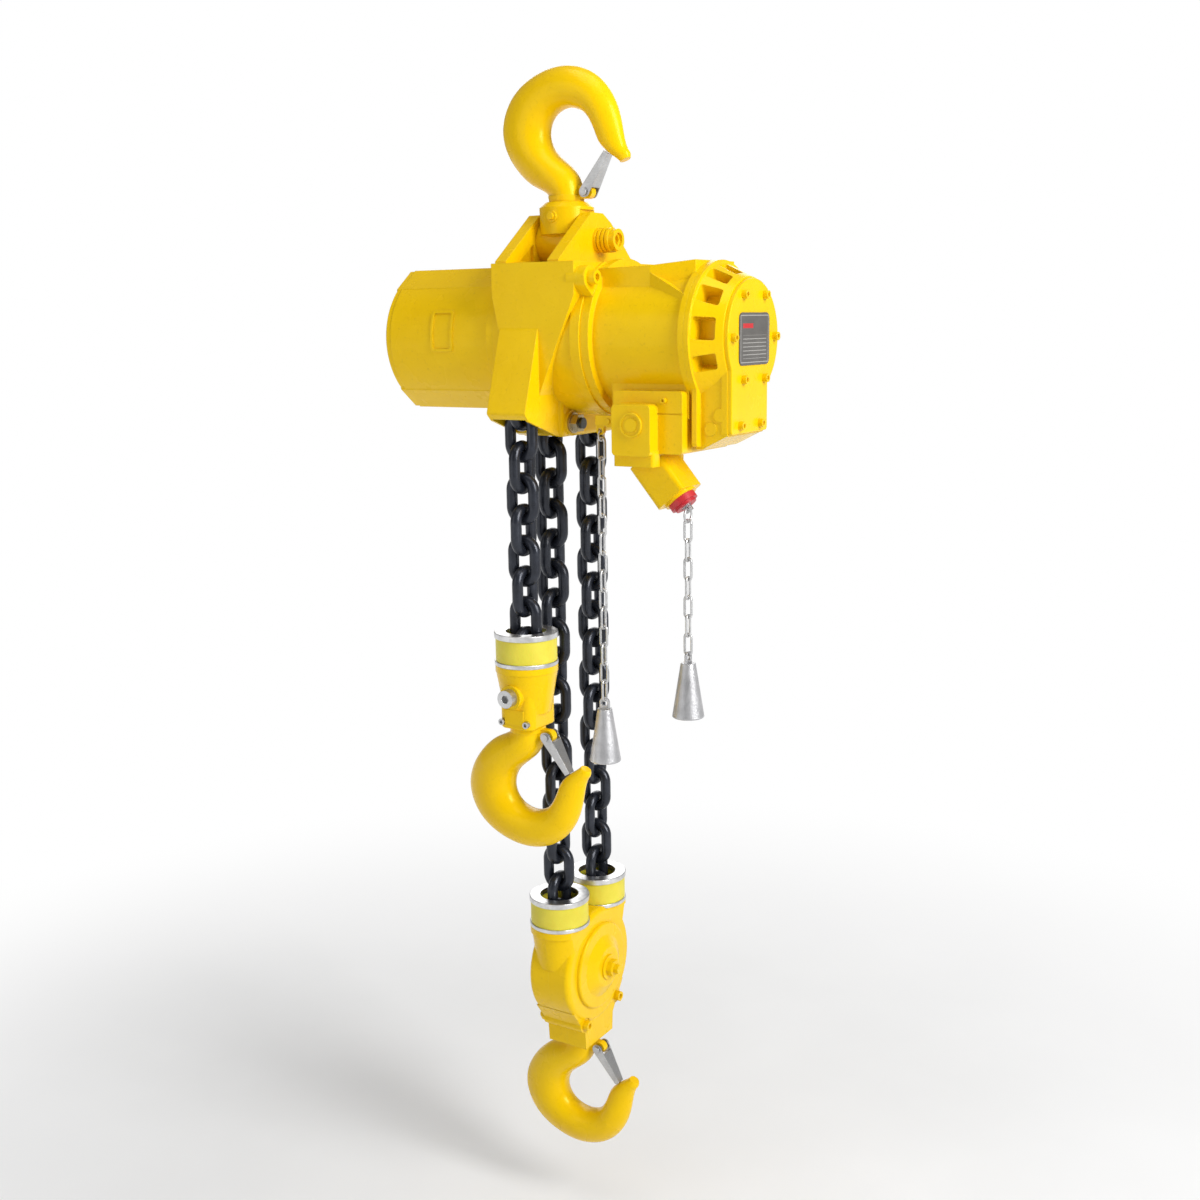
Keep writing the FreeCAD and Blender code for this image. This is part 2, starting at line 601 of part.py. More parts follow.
def end_plate():
    plate = end_outline(END_R - 1, 0, END_FOOT_Z + 1, PLATE_X)
    return soft(plate, 1.2, lambda e: e.BoundBox.XMin > PLATE_X[1] - 0.1)


def name_plate():
    w, h = 37.0, 28.0
    sheet = box((PLATE_X[1], PLATE_X[1] + 1.2), (AXIS_Y - w, AXIS_Y + w), (-h - 2, h - 2))
    return soft(sheet, 7, along(X1))


def body_screw_places():
    """(point, outward direction, size, length) of each screw in the hoist body"""
    out = []
    for k in range(6):
        a = math.radians(60 * k)
        r = END_R - 11.5
        out.append((V(PLATE_X[1], AXIS_Y + r * math.cos(a), r * math.sin(a)), X1, 6.0, 12.0))
    for y in (END_FOOT_Y[0] + 20, END_FOOT_Y[1] - 20):
        out.append((V(PLATE_X[1], y, END_FOOT_Z + 10), X1, 6.0, 12.0))
    out.append((V(176, CTRL_Y[0], -66), Y1 * -1, 4.0, 10.0))
    for y, z in LUGS:
        out.append((V(88, y, z), X1, 10.0, 22.0))
    return out


# ================= gears and motor =================
def gear(teeth, module, span, bore, internal_r=None):
    """straight-sided teeth with a small backlash; the first tooth points along +Y"""
    pitch_r = teeth * module / 2
    add_h, ded_h = 0.85 * module, 1.1 * module
    step = 2 * math.pi / teeth
    pts = []
    if internal_r:
        shapes = [(-0.34, ded_h), (-0.13, -add_h), (0.13, -add_h), (0.34, ded_h)]
    else:
        shapes = [(-0.34, -ded_h), (-0.13, add_h), (0.13, add_h), (0.34, -ded_h)]
    for i in range(teeth):
        for frac, dr in shapes:
            a = step * (i + frac)
            pts.append(((pitch_r + dr) * math.cos(a), (pitch_r + dr) * math.sin(a)))
    body = prism("x", pts, span)
    if internal_r:
        return cut(cyl("x", (0, 0), internal_r, span), body)
    return cut(body, cyl("x", (0, 0), bore, (span[0] - 1, span[1] + 1))) if bore else body


CENTRE_R = (SUN_T + PLANET_T) * MODULE / 2


def planet_phase(k):
    """turn, in degrees, that puts planet k in mesh with the sun"""
    b = 360.0 / PLANETS * k
    a = b / (360.0 / SUN_T)
    return b + 180 - (360.0 / PLANET_T) * (0.5 - a)


def ring_phase():
    b = (0 - planet_phase(0)) / (360.0 / PLANET_T)
    return -(360.0 / RING_T) * (b - 0.5)


def placed(shape, turn, y, z):
    return shape.rotated(V(0, 0, 0), X1, turn).translated(V(0, y, z))


def make_drive():
    add("ring_gear", placed(gear(RING_T, MODULE, GEAR_X, 0, 75.9), ring_phase(), AXIS_Y, 0))
    for k in range(PLANETS):
        a = math.radians(360.0 / PLANETS * k)
        wheel = gear(PLANET_T, MODULE, (GEAR_X[0] + 1, GEAR_X[1] - 1), 8.05)
        add("planet_gear_%d" % (k + 1), placed(wheel, planet_phase(k), AXIS_Y + CENTRE_R * math.cos(a),
                                               CENTRE_R * math.sin(a)))
    sun = gear(SUN_T, MODULE, GEAR_X, 0)
    shaft = cyl("x", (0, 0), 9.0, (GEAR_X[1] - 2, 100))
    add("sun_shaft", placed(fuse(sun, shaft), 0, AXIS_Y, 0))
    disc = cyl("x", (0, 0), 56, (GEAR_X[1] + 2, GEAR_X[1] + 14))
    hub = cyl("x", (0, 0), 30, (GEAR_X[1] + 13, -27.2))
    pins = [cyl("x", (CENTRE_R * math.cos(a), CENTRE_R * math.sin(a)), 8.0, (GEAR_X[0], GEAR_X[1] + 3))
            for a in (math.radians(360.0 / PLANETS * k) for k in range(PLANETS))]
    carrier = cut(fuse(disc, hub, *pins), cyl("x", (0, 0), 11, (GEAR_X[1], 0)))
    add("planet_carrier", placed(carrier, 0, AXIS_Y, 0))
    add("load_wheel", pocket_wheel(AXIS_Y, 0, WHEEL_R, 27, WHEEL_TURN, WHEEL_POCKETS, WIRE, 60.0, 11.0))
    rotor = cut(cyl("x", (0, 0), 46, (102, 186)), cyl("x", (0, 0), 9.05, (100, 190)))
    tail = cyl("x", (0, 0), 9.0, (100.1, 196))
    rotor = fuse(rotor, tail)
    vanes = []
    slots = []
    for k in range(6):
        t = 60.0 * k
        slots.append(box((101, 187), (24, 50), (-2.05, 2.05)).rotated(V(0, 0, 0), X1, t))
        vanes.append(box((102, 186), (26, 55), (-2.0, 2.0)).rotated(V(0, 0, 0), X1, t))
    add("rotor", placed(bundle([cut(rotor, *slots)] + vanes), 0, AXIS_Y, 0))


# ================= single-fall hook block =================
def buffer_stack(y, top, names):
    a, b, c = top - RING_T1, top - RING_T1 - BUFFER_H, top - RING_T1 - BUFFER_H - RING_T2
    hole = LINK_HALF + 2.4
    rings = [cut(cyl("z", (0, y), RING_R, s), cyl("z", (0, y), hole, (s[0] - 1, s[1] + 1)))
             for s in ((a, top), (c, b))]
    rings = [soft(r, 0.8, lambda e: e.Length > 2 * math.pi * RING_R - 1) for r in rings]
    rubber = cut(cyl("z", (0, y), RING_R - 1.4, (b, a)), cyl("z", (0, y), hole, (b - 1, a + 1)))
    return rings, rubber, c


def hook_a_block(top):
    y = SLACK_Y
    flange = cyl("z", (0, y), RING_R - 0.5, (top - 8, top))
    upper = cone("z", (0, y), 28.0, 36.5, (-430, top - 7))
    lower = box((-23.5, 23.5), (y - 28, y + 28), (A_BOTTOM, -400))
    lower = soft(lower, 11, along(Z1))
    lower = soft(lower, 2.5, lambda e: e.BoundBox.ZMax < A_BOTTOM + 0.1)
    pad = cyl("y", (0, A_PIN_Z), 14, (y - 36, y + 36))
    body = fuse(flange, upper, lower, pad)
    hole = LINK_HALF + 2.4
    well = cyl("z", (0, y), hole, (SLACK_END_Z + 18, top + 1))
    slot = box((-LINK_HALF - 1, LINK_HALF + 1), (y - 8, y + 8), (SLACK_END_Z - 15, top))
    nut = cyl("z", (0, y), NUT_R + 0.3, (A_BOTTOM + 5, A_BOTTOM + 20.5))
    bore = cyl("z", (0, y), SHANK_R, (A_BOTTOM - 1, A_BOTTOM + 8))
    pin = cyl("y", (0, A_PIN_Z), 6.45, (y - 50, y + 50))
    plate = box((-13, 13), (y - 29.2, y - 27.2), (A_BOTTOM + 6, A_BOTTOM + 24))
    return cut(fuse(body, plate), well, slot, nut, bore, pin)


def hook_a_pin():
    y = SLACK_Y
    core = cyl("y", (0, A_PIN_Z), 6.4, (y - 36, y + 35.8))
    head = cyl("y", (0, A_PIN_Z), 10.5, (y - 46, y - 36))
    socket = hexagon("y", (0, A_PIN_Z), 9, (y - 47, y - 40))
    return cut(fuse(core, head), socket)


def make_hook_a():
    rings, rubber, top = buffer_stack(SLACK_Y, A_TOP, "a")
    screws, holes = [], []
    for s in (-1, 1):
        at = V(s * 17, SLACK_Y - 26.5, A_BOTTOM + 8)
        screws.append(cap_screw(at, Y1 * -1, 5.0, 7))
        holes.append(screw_hole(at, Y1 * -1, 5.0, 7))
        holes.append(cyl("y", (at.x, at.z), 4.2, (at.y - 12, at.y)))
    add("fall_hook_buffer_rings", bundle(rings))
    add("fall_hook_buffer", rubber)
    add("fall_hook_block", cut(hook_a_block(top), *holes))
    add("fall_hook_chain_pin", bundle([hook_a_pin()] + screws))
    add_hook("fall", V(0, SLACK_Y, A_BOTTOM - 0.3), False, 20.0)


# ================= two-fall hook block =================
def block_shell(sign, top):
    span = tuple(sorted((0.0, sign * B_HALF)))
    disc = cyl("x", (0, SHEAVE_Z), B_R, span)
    half = cyl("x", (0, SHEAVE_Z), 200, span)
    necks = []
    for s in (-1, 1):
        y = s * FALL_Y
        necks.append(cyl("z", (0, y), RING_R - 0.5, (top - 9, top)))
        necks.append(cone("z", (0, y), 29.5, RING_R - 2, (SHEAVE_Z + 15, top - 8)))
    bridge = box((-22, 22), (-FALL_Y, FALL_Y), (SHEAVE_Z, top - 14))
    tail = prism("x", [(-60, SHEAVE_Z - 44), (60, SHEAVE_Z - 44), (34, B_BOTTOM + 24), (32, B_BOTTOM),
                       (-32, B_BOTTOM), (-34, B_BOTTOM + 24)], tuple(sorted((0, sign * (B_HALF - 2)))))
    disc = soft(disc, 7, lambda e: abs(abs(e.BoundBox.XMin) - B_HALF) < 0.1 and e.Length > 300)
    body = fuse(*[s.common(half) for s in (disc, tail, bridge)], *[n.common(half) for n in necks])

    def s2(a, b):
        return tuple(sorted((sign * a, sign * b)))
    boss = cyl("x", (0, SHEAVE_Z), 55, s2(B_HALF - 2, B_HALF + 5))
    boss = soft(boss, 3, lambda e: abs(abs(e.BoundBox.XMin) - B_HALF - 5) < 0.1)
    r0, r1 = (45, 25) if sign > 0 else (25, 45)
    lo, hi = s2(B_HALF + 2, B_HALF + 13)
    dome = cone("x", (0, SHEAVE_Z), r0, r1, (lo, hi))
    dome = soft(dome, 3, lambda e: abs(abs(e.BoundBox.XMin) - B_HALF - 13) < 0.1)
    lugs = [cyl("x", (y, z), 10, s2(0, B_HALF - 2)) for y, z, d in BLOCK_BOLTS]
    body = cut(body, cyl("x", (0, SHEAVE_Z), 40, s2(0, 12)))
    body = fuse(body, boss, dome, *lugs)
    hole = LINK_HALF + 2.4
    groove_r = LINK_HALF + SHEAVE_R * math.cos(half_angle(SHEAVE_POCKETS)) + 1.6
    tools = [cyl("x", (0, SHEAVE_Z), groove_r, (-10, 10)),
             cyl("x", (0, SHEAVE_Z), 60, (-24.2, 24.2)),
             cyl("x", (0, SHEAVE_Z), 12.05, (-60, 60)),
             cyl("z", (0, 0), NUT_R + 0.3, (B_BOTTOM + 5, B_BOTTOM + 20.5)),
             cyl("z", (0, 0), SHANK_R, (B_BOTTOM - 1, B_BOTTOM + 8))]
    tools += [cyl("z", (0, s * FALL_Y), hole, (SHEAVE_Z - 16, top + 1)) for s in (-1, 1)]
    tools += [screw_hole(V(60, y, z), X1, d, 120) for y, z, d in BLOCK_BOLTS]
    seats = [cyl("x", (y, z), 9, s2(B_HALF - 2.2, B_HALF + 30)) for y, z, d in BLOCK_BOLTS]
    seats += [cyl("z", (0, s * FALL_Y), RING_R + 0.6, (top, top + 45)) for s in (-1, 1)]
    return cut(body, *(tools + seats))


BLOCK_BOLTS = [(-34, -858.0, 8.0), (42, -850.0, 8.0)]


def block_bolts():
    axle = fuse(cyl("x", (0, SHEAVE_Z), 12.0, (-43, 43)), hexagon("x", (0, SHEAVE_Z), 19, (43, 53)),
                cyl("x", (0, SHEAVE_Z), 6, (50, 60)), cyl("x", (0, SHEAVE_Z), 16, (43, 45.5)),
                cyl("x", (0, SHEAVE_Z), 14, (-49, -43)))
    out = [axle]
    for y, z, d in BLOCK_BOLTS:
        face = B_HALF - 2.2
        bolt = fuse(cap_screw(V(face, y, z), X1, d, face * 2 + 10))
        nut = hexagon("x", (y, z), 13, (-face - 7, -face))
        out.append(fuse(bolt, nut))
    return bundle(out)


def make_block():
    rings, rubbers = [], []
    for s in (-1, 1):
        r, rub, top = buffer_stack(s * FALL_Y, B_TOP, "b")
        rings += r
        rubbers.append(rub)
    add("block_buffer_rings", bundle(rings))
    add("block_buffers", bundle(rubbers))
    add("block_shell_left", block_shell(-1, top))
    add("block_shell_right", block_shell(1, top))
    add("block_bolts", block_bolts())
    idler = pocket_wheel(0, SHEAVE_Z, SHEAVE_R, 23.6, SHEAVE_TURN - math.pi, SHEAVE_POCKETS, WIRE_IDLER,
                         51.0, 12.06)
    add("idler_sheave", cut(idler, *end_link_relief()))
    add_hook("block", V(0, 0, B_BOTTOM - 0.3), False, 20.0)


# ================= controls =================
LEVER_EAR_R = 6.5


def control_block():
    x, y, z = CTRL_X, CTRL_Y, CTRL_Z
    body = box(x, y, z)
    body = soft(body, 4, along(Y1))
    front = soft(box((120, 168), (y[0] - 18, y[0] + 8), (z[0] - 2, z[1] - 14)), 5, along(Y1))
    step = soft(box((118, 169), (y[0] - 12, y[0] + 60), (z[0] - 14, z[0] + 4)), 4, along(Z1))
    at = (145, -92)
    port = cut(cyl("y", at, 13.5, (y[0] - 20.5, y[0] - 16)), cyl("y", at, 11.6, (y[0] - 21, y[0] - 19.3)))
    plug = cyl("y", at, 7.5, (y[0] - 20.5, y[0] - 16))
    inlet = cyl("y", (INLET[0], INLET[1]), 17, (y[1] - 5, y[1] + 10))
    ears = []
    for s in (-1, 1):
        lo, hi = sorted((LEVER_PIVOT.y + s * 4.2, LEVER_PIVOT.y + s * 8.2))
        eye = cyl("y", (LEVER_PIVOT.x, LEVER_PIVOT.z), LEVER_EAR_R, (lo, hi))
        height = (LEVER_PIVOT.z - LEVER_EAR_R, LEVER_PIVOT.z + LEVER_EAR_R)
        root = box((LEVER_PIVOT.x, x[0] + 2), (lo, hi), height)
        ears.append(fuse(eye, root))
    neck = turned(box((-19, 19), (-24, 24), (-14, 66)), STOP_TIP - STOP_DIR * 60, Y1, STOP_DIR * -1)
    body = fuse(body, front, step, port, plug, inlet, *ears)
    groove = box((x[0] - 2, x[1] + 2), (y[0] - 1, y[0] + 0.8), (-81.2, -79.8))
    barrel = cyl("x", (AXIS_Y, 0), MOTOR_R + 0.05, (100, 210))
    saddle = box((103.95, 200.05), (AXIS_Y - 62.05, AXIS_Y + 40.05), (-86.05, -40))
    seat = neck_tool()
    bore = cyl("y", (INLET[0], INLET[1]), INLET[2], (y[1] - 14, y[1] + 11))
    pin = cyl("y", (LEVER_PIVOT.x, LEVER_PIVOT.z), 3.05, (-100, -60))
    return cut(body, groove, barrel, saddle, seat, bore, pin)


INLET = (150.0, -102.0, 9.3)


def neck_tool():
    return turned(box((-23.05, 23.05), (-21.05, 21.05), (0, 80)), STOP_TIP, Y1, STOP_DIR * -1)


def stop_valve_body():
    base = turned(box((-23, 23), (-21, 21), (0, 56)), STOP_TIP, Y1, STOP_DIR * -1)
    base = soft(base, 6, lambda e: along(STOP_DIR_N)(e))
    collar = turned(cyl("z", (0, 0), 19.5, (-3, 2)), STOP_TIP, Y1, STOP_DIR * -1)
    body = fuse(base, collar)
    bore = turned(cyl("z", (0, 0), 6.5, (-5, 40)), STOP_TIP, Y1, STOP_DIR * -1)
    keep = box((60, 260), (-200, 100), (-260, -100))
    return cut(body.common(keep), bore)


STOP_DIR_N = V(STOP_DIR).normalize()


def stop_bush():
    ring = fuse(cyl("z", (0, 0), 16.5, (-10, -3)), cyl("z", (0, 0), 13, (-13, -9)))
    ring = cut(ring, cyl("z", (0, 0), 6.5, (-20, 0)))
    return turned(ring, STOP_TIP, Y1, STOP_DIR * -1)


STOP_EYE = STOP_TIP + STOP_DIR_N * 15.6


def stop_plunger():
    rod = fuse(cyl("z", (0, 0), 6.4, (-12.5, 38)), cyl("z", (0, 0), 5.0, (-20, -12)))
    flats = [box((s * 5 - 2.8, s * 5 + 2.8), (-7, 7), (-24, -13)) for s in (-1, 1)]
    rod = turned(cut(rod, *flats), STOP_TIP, Y1, STOP_DIR * -1)
    return cut(rod, cyl("y", (STOP_EYE.x, STOP_EYE.z), 2.2, (-80, -40)))


def start_lever():
    p, e = LEVER_PIVOT, LEVER_EYE
    t = (p.y - 4.0, p.y + 4.0)
    arm = prism("y", [(p.x - 2, p.z + 6), (e.x - 5, p.z + 6), (e.x - 5, e.z), (e.x + 5, e.z),
                      (e.x + 5, p.z - 5), (p.x, p.z - 5)], t)
    arm = soft(arm, 2.5, along(Y1))
    body = fuse(arm, cyl("y", (p.x, p.z), 5.6, t), cyl("y", (e.x, e.z), 5.0, t))
    pin = cyl("y", (p.x, p.z), 2.98, (p.y - 9.4, p.y + 9.4))
    body = fuse(body, pin)
    thin = [box((e.x - 6, e.x + 6), span, (e.z - 6, e.z + 6))
            for span in ((p.y - 5, p.y - 2.3), (p.y + 2.3, p.y + 5))]
    return cut(body, cyl("y", (e.x, e.z), 2.6, (-100, -60)), *thin)


def pull_chain(eye, ring_r, links, ring_wire):
    """split ring through an eye along Y, then a long-link chain hanging from it"""
    centre = eye - Z1 * ring_r
    ring = Part.makeTorus(ring_r, ring_wire, centre, X1)
    small = link_shape(PULL_WIRE, PULL_PITCH, PULL_BEND, PULL_WIRE + 0.2)
    start = eye - Z1 * (2 * ring_r - ring_wire - 0.1)
    pts = straight_down(start, links, PULL_PITCH)
    chain = lay(pts, small, True)
    return bundle([ring] + chain), pts[-1]


def pull_weight(top, axis):
    """cast cone with an eye bored along `axis`; `top` is the last joint of its chain"""
    z = top.z - EYE_DROP
    low = z + 5.0 - WEIGHT_H
    body = cone("z", (0, 0), WEIGHT_R[0], WEIGHT_R[1], (low, z - 7))
    body = soft(body, 1.5, lambda e: e.BoundBox.ZMax < low + 0.5)
    tab = fuse(box((-6.4, 6.4), (-1.4, 1.4), (z - 12, z)), cyl("y", (0, z), 6.4, (-1.4, 1.4)))
    body = cut(fuse(body, tab), cyl("y", (0, z), 4.0, (-9, 9)))
    if axis == "x":
        body = body.rotated(V(0, 0, 0), Z1, 90)
    return body.translated(V(top.x, top.y, 0))


def make_controls():
    add("stop_valve_body", stop_valve_body())
    add("stop_bush", stop_bush())
    add("stop_plunger", stop_plunger())
    add("start_lever", start_lever())
    chain, end = pull_chain(LEVER_EYE, START_RING_R, START_LINKS, 1.2)
    add("start_chain", chain)
    add("start_weight", pull_weight(end, "y"))
    chain, end = pull_chain(STOP_EYE, STOP_RING_R, STOP_LINKS, 1.2)
    add("stop_chain", chain)
    add("stop_weight", pull_weight(end, "x"))


# ================= assembly =================
def make_body():
    places = body_screw_places()
    holes = [screw_hole(*p) for p in places]
    cutters = bundle(holes)
    shells = {"chain_housing": chain_housing(), "gear_cover": gear_cover(), "motor_housing": motor_housing(),
              "end_cover": end_cover(), "end_plate": end_plate(), "control_block": control_block(),
              "ear_plate_left": ear_plate(-1), "ear_plate_right": ear_plate(1)}
    for name, shape in shells.items():
        for hole in holes:
            if shape.BoundBox.intersect(hole.BoundBox):
                shape = shape.cut(hole)
        add(name, shape)
    add("body_screws", bundle([cap_screw(*p) for p in places]))
    add("name_plate", name_plate())
    add("chain_anchor", chain_anchor())
    add("suspension_pins", bundle([suspension_pin(-1), suspension_pin(1)]))
    add("crosshead", crosshead())
    add_hook("top", V(0, 0, CROSS_TOP + 0.3), True, 34.0)


def main():
    make_body()
    make_drive()
    make_chains()
    make_hook_a()
    make_block()
    make_controls()
    os.makedirs("parts", exist_ok=True)
    for name, shape in NODES.items():
        shape.exportStep("parts/" + name + ".step")
        good = shape.isValid() and all(s.isClosed() for s in shape.Shells)
        print("%-24s %3d solids %9.1f cm3 %s" % (name, len(shape.Solids), shape.Volume / 1000,
                                               "" if good else "CHECK"))
    print(len(NODES), "nodes; sheave z %.5f fall y %.5f axis y %.5f slack y %.5f pin z %.5f stop eye %s" % (
        SHEAVE_Z, FALL_Y, AXIS_Y, SLACK_Y, A_PIN_Z, STOP_EYE))


main()
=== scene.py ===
import math
import bpy
import bmesh
from mathutils import Matrix, Vector


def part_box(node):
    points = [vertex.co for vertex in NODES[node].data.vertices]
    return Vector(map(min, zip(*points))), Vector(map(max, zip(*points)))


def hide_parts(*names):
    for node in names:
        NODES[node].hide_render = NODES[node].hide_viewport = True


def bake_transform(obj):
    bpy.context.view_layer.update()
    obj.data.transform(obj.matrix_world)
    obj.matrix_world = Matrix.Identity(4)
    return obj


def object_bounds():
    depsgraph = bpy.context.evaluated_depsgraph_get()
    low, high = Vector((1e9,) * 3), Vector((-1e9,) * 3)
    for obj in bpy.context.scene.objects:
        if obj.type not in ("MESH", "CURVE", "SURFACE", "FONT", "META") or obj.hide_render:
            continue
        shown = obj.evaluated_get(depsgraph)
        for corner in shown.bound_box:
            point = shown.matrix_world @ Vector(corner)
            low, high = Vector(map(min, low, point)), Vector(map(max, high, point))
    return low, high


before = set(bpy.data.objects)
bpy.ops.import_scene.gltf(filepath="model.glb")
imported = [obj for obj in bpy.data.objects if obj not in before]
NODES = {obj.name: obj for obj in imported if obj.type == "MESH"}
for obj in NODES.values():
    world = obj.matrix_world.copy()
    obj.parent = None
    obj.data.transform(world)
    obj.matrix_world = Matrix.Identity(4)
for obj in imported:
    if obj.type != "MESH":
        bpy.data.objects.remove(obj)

CAD_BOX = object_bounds()


# ---------------------------------------------------------------- material helpers
class Mat:
    """small builder for a Principled material"""

    def __init__(self, name, rough=0.4, metal=0.0, coat=0.0, coat_rough=0.1):
        self.m = bpy.data.materials.new(name)
        self.m.use_nodes = True
        self.t = self.m.node_tree
        self.t.nodes.clear()
        self.out = self.t.nodes.new("ShaderNodeOutputMaterial")
        self.b = self.t.nodes.new("ShaderNodeBsdfPrincipled")
        self.t.links.new(self.b.outputs[0], self.out.inputs[0])
        self.set("Roughness", rough)
        self.set("Metallic", metal)
        self.set("Coat Weight", coat)
        self.set("Coat Roughness", coat_rough)
        co = self.t.nodes.new("ShaderNodeTexCoord")
        self.co = co.outputs["Object"]
        self.bumps = None

    def set(self, socket, value):
        s = self.b.inputs[socket]
        if hasattr(value, "is_linked"):
            self.t.links.new(value, s)
        else:
            s.default_value = value

    def node(self, kind, ins=(), **props):
        n = self.t.nodes.new(kind)
        for k, v in props.items():
            setattr(n, k, v)
        for k, v in dict(ins).items():
            if hasattr(v, "is_linked"):
                self.t.links.new(v, n.inputs[k])
            else:
                n.inputs[k].default_value = v
        return n

    def noise(self, scale, detail=3.0, rough=0.5, stretch=(1, 1, 1)):
        mp = self.node("ShaderNodeMapping", {"Vector": self.co, "Scale": stretch})
        n = self.node("ShaderNodeTexNoise", {"Vector": mp.outputs[0], "Scale": scale, "Detail": detail,
                                             "Roughness": rough})
        return n.outputs["Fac"]

    def voronoi(self, scale):
        n = self.node("ShaderNodeTexVoronoi", {"Vector": self.co, "Scale": scale})
        return n.outputs["Distance"]

    def ramp(self, fac, stops, interp="LINEAR"):
        r = self.t.nodes.new("ShaderNodeValToRGB")
        r.color_ramp.interpolation = interp
        els = r.color_ramp.elements
        while len(els) < len(stops):
            els.new(0.5)
        for e, (p, c) in zip(els, stops):
            e.position = p
            e.color = c if len(c) == 4 else (*c, 1)
        self.t.links.new(fac, r.inputs[0])
        return r.outputs[0]

    def mix(self, fac, a, b):
        n = self.t.nodes.new("ShaderNodeMix")
        n.data_type = "RGBA"
        for k, v in ((0, fac), (6, a), (7, b)):
            if hasattr(v, "is_linked"):
                self.t.links.new(v, n.inputs[k])
            else:
                n.inputs[k].default_value = v if k == 0 or len(v) == 4 else (*v, 1)
        return n.outputs[2]

    def math(self, op, a, b=0.0):
        n = self.node("ShaderNodeMath", {0: a, 1: b}, operation=op)
        return n.outputs[0]

    def edge(self, radius):
        """1 on sharp edges, 0 on flats"""
        bev = self.node("ShaderNodeBevel", {"Radius": radius}, samples=4)
        geo = self.t.nodes.new("ShaderNodeNewGeometry")
        dot = self.node("ShaderNodeVectorMath", {0: bev.outputs[0], 1: geo.outputs["Normal"]},
                        operation="DOT_PRODUCT")
        inv = self.math("SUBTRACT", 1.0, dot.outputs["Value"])
        return self.math("MULTIPLY", inv, 4.0)

    def bump(self, height, strength, distance, edge_radius=0.0):
        n = self.node("ShaderNodeBump", {"Height": height, "Strength": strength, "Distance": distance})
        if self.bumps is not None:
            self.t.links.new(self.bumps, n.inputs["Normal"])
        elif edge_radius:
            bev = self.node("ShaderNodeBevel", {"Radius": edge_radius}, samples=4)
            self.t.links.new(bev.outputs[0], n.inputs["Normal"])
        self.bumps = n.outputs[0]
        self.set("Normal", self.bumps)
        return self


def paint(name, cast, dark=(0.50, 0.28, 0.001), base=(0.79, 0.49, 0.001), light=(0.86, 0.56, 0.002)):
    """gloss enamel: sharp edges painted paler as a highlight, with dark flecks, over orange peel or casting
    grain
    """
    k = Mat(name, 0.26, 0.0, 0.04, 0.12)
    k.set("Specular IOR Level", 0.42)
    k.set("Specular Tint", (1.0, 0.84, 0.22, 1))
    cloud = k.noise(9.0, 4.0, 0.6)
    col = k.ramp(cloud, [(0.25, base), (0.75, light)])
    fleck = k.noise(260.0, 2.0, 0.6)
    col = k.mix(k.ramp(fleck, [(0.60, (0, 0, 0)), (0.80, (0.35, 0.35, 0.35))]), col, dark)
    # painted highlight: sharp edges, broken up by noise, are mixed towards a paler, brighter yellow
    edge_highlight_mask = k.math("MULTIPLY", k.edge(0.0016), k.noise(70.0, 3.0))
    edge_highlight = k.ramp(edge_highlight_mask, [(0.20, (0, 0, 0)), (0.55, (0.5, 0.5, 0.5))])
    col = k.mix(edge_highlight, col, (0.94, 0.72, 0.04))
    k.set("Base Color", col)
    k.set("Roughness", k.ramp(k.noise(24.0, 3.0), [(0.3, (0.20,) * 3), (0.8, (0.36,) * 3)]))
    k.bump(k.noise(900.0 if not cast else 520.0, 2.0), 0.10 if not cast else 0.30, 0.0006, 0.0012)
    k.bump(k.noise(60.0, 2.0), 0.12 if not cast else 0.28, 0.0016)
    return k.m


def steel(name, tone, rough, scratch=True, grain=1.0):
    """plated or machined metal"""
    k = Mat(name, rough, 1.0)
    a = (tone,) * 3
    b = (tone * 1.28,) * 3
    patch = k.noise(45.0, 5.0, 0.65)
    col = k.ramp(patch, [(0.30, a), (0.72, b)])
    line = k.noise(180.0, 2.0, 0.5, (1, 1, 9) if scratch else (1, 1, 1))
    score = k.ramp(line, [(0.35, (0.25, 0.25, 0.25)), (0.6, (0, 0, 0))])
    col = k.mix(score, col, tuple(c * 0.6 for c in a))
    k.set("Base Color", col)
    k.set("Roughness", k.ramp(patch, [(0.3, (rough + 0.14,) * 3), (0.8, (rough - 0.06,) * 3)]))
    k.bump(line, 0.15 * grain, 0.0003, 0.0007)
    k.bump(k.noise(700.0, 2.0), 0.12 * grain, 0.0003)
    return k.m


def chain_steel(name):
    """black heat-treated links with an oily sheen and lighter patches at random"""
    k = Mat(name, 0.34, 0.55, 0.25, 0.2)
    tone = k.noise(60.0, 4.0, 0.6)
    col = k.ramp(tone, [(0.25, (0.010, 0.012, 0.018)), (0.6, (0.022, 0.026, 0.038)),
                        (0.9, (0.055, 0.06, 0.075))])
    k.set("Base Color", col)
    k.set("Roughness", k.ramp(k.noise(130.0, 4.0), [(0.3, (0.26,) * 3), (0.75, (0.48,) * 3)]))
    k.bump(k.noise(420.0, 3.0), 0.35, 0.0004)
    k.bump(k.noise(90.0, 2.0), 0.25, 0.0008)
    return k.m


def polymer(name, a, b, rough, bump=0.2, sub=0.0):
    k = Mat(name, rough, 0.0)
    col = k.ramp(k.noise(30.0, 4.0, 0.6), [(0.3, a), (0.75, b)])
    speck = k.voronoi(420.0)
    pore = k.ramp(speck, [(0.0, (0.25, 0.25, 0.25)), (0.25, (0, 0, 0))])
    col = k.mix(pore, col, tuple(c * 0.65 for c in a))
    k.set("Base Color", col)
    k.set("Subsurface Weight", sub)
    k.set("Subsurface Scale", 0.004)
    sheen = k.noise(80.0, 3.0)
    k.set("Roughness", k.ramp(sheen, [(0.3, (rough - 0.08,) * 3), (0.8, (rough + 0.08,) * 3)]))
    k.bump(k.noise(650.0, 3.0), bump, 0.0005, 0.001)
    return k.m


def centre(node):
    low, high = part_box(node)
    return (low + high) / 2


